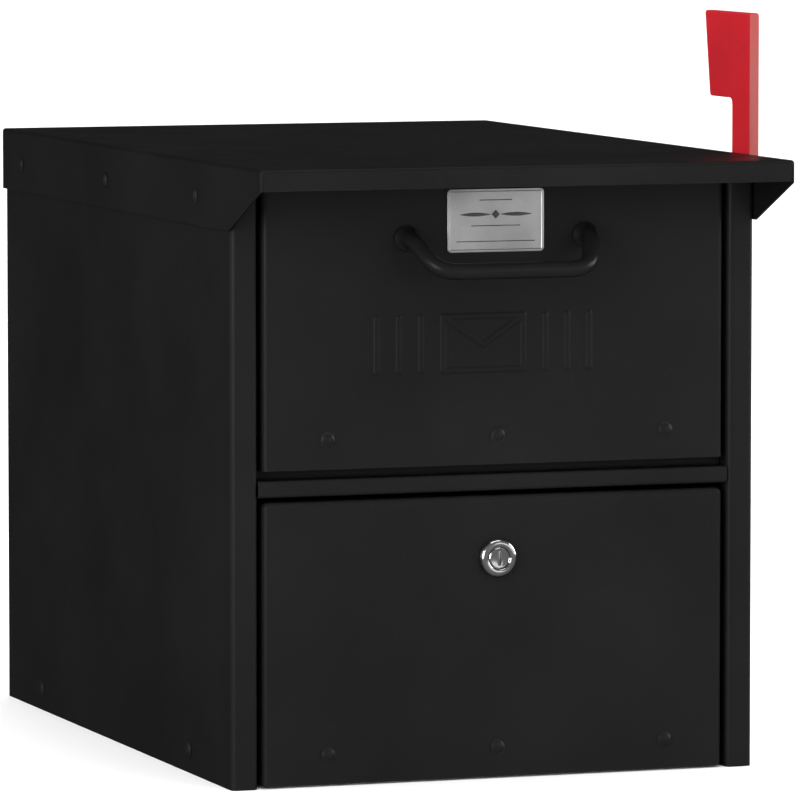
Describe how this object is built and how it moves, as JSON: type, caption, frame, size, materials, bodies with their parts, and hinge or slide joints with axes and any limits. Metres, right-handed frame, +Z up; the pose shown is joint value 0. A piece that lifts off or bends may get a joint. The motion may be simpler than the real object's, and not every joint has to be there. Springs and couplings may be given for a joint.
{
  "type": "parcel drop box",
  "caption": "Sheet-steel parcel drop box with a flat hood, a pull-down upper door with a bar handle, a cam-locked lower door and a signal flag.",
  "frame": {"origin": "centre of the cabinet's underside, where the box stands", "axes": "+X across the front to the viewer's right, -Y the way the doors face, +Z up"},
  "size_m": [0.3373, 0.5167, 0.4398],
  "materials": {
    "powder_coat": "satin black powder coat",
    "handle_coat": "semi-gloss black coat",
    "coated_rivet": "black coated rivet",
    "zinc_steel": "zinc plated",
    "chrome": "polished",
    "plate_metal": "brushed",
    "red_plastic": "moulded, low gloss",
    "black_plastic": "moulded",
    "nylon": "natural nylon",
    "ferrite": "sintered magnet"
  },
  "bodies": {
    "cabinet": {"left_side_panel": "powder_coat", "right_side_panel": "powder_coat", "back_panel": "powder_coat", "bottom_panel": "powder_coat", "hood": "powder_coat", "header_rail": "powder_coat", "centre_rail": "powder_coat", "drop_shelf": "powder_coat", "reach_baffle": "powder_coat", "upper_hinge_fixed_leaf": "zinc_steel", "lower_hinge_fixed_leaf": "zinc_steel", "upper_hinge_pin": "zinc_steel", "lower_hinge_pin": "zinc_steel", "magnet_housing": "black_plastic", "magnet": "ferrite", "flag_spacer": "nylon", "flag_pivot_bolt": "zinc_steel", "flag_pivot_nut": "zinc_steel", "hood_rivet_left_1": "coated_rivet", "hood_rivet_left_2": "coated_rivet", "hood_rivet_left_3": "coated_rivet", "hood_rivet_right_1": "coated_rivet", "hood_rivet_right_2": "coated_rivet", "hood_rivet_right_3": "coated_rivet", "base_rivet_left_1": "coated_rivet", "base_rivet_left_2": "coated_rivet", "base_rivet_right_1": "coated_rivet", "base_rivet_right_2": "coated_rivet"},
    "upper_door": {"upper_door_panel": "powder_coat", "door_handle": "handle_coat", "handle_screw_left": "zinc_steel", "handle_screw_right": "zinc_steel", "name_plate": "plate_metal", "strike_plate": "zinc_steel", "upper_door_hinge_leaf": "zinc_steel", "upper_door_rivet_left": "coated_rivet", "upper_door_rivet_middle": "coated_rivet", "upper_door_rivet_right": "coated_rivet"},
    "lower_door": {"lower_door_panel": "powder_coat", "lower_door_hinge_leaf": "zinc_steel", "lower_door_rivet_left": "coated_rivet", "lower_door_rivet_middle": "coated_rivet", "lower_door_rivet_right": "coated_rivet", "lock_housing": "chrome", "lock_nut": "zinc_steel"},
    "lock_plug": {"lock_plug": "chrome", "lock_cam": "zinc_steel", "lock_cam_screw": "zinc_steel"},
    "flag": {"flag": "red_plastic"}
  },
  "joints": [
    {"name": "upper_door_hinge", "type": "hinge", "parent": "cabinet", "child": "upper_door", "pos_m": [0, -0.2244, 0.1853], "axis": [1, 0, 0], "range_deg": [0, 90]},
    {"name": "lower_door_hinge", "type": "hinge", "parent": "cabinet", "child": "lower_door", "pos_m": [0, -0.2244, 0.0042], "axis": [1, 0, 0], "range_deg": [0, 90]},
    {"name": "lock_turn", "type": "hinge", "parent": "lower_door", "child": "lock_plug", "pos_m": [0.001, -0.2283, 0.1285], "axis": [0, -1, 0], "range_deg": [0, 90]},
    {"name": "flag_swing", "type": "hinge", "parent": "cabinet", "child": "flag", "pos_m": [0.1642, -0.1968, 0.3392], "axis": [-1, 0, 0], "range_deg": [0, 90]}
  ]
}
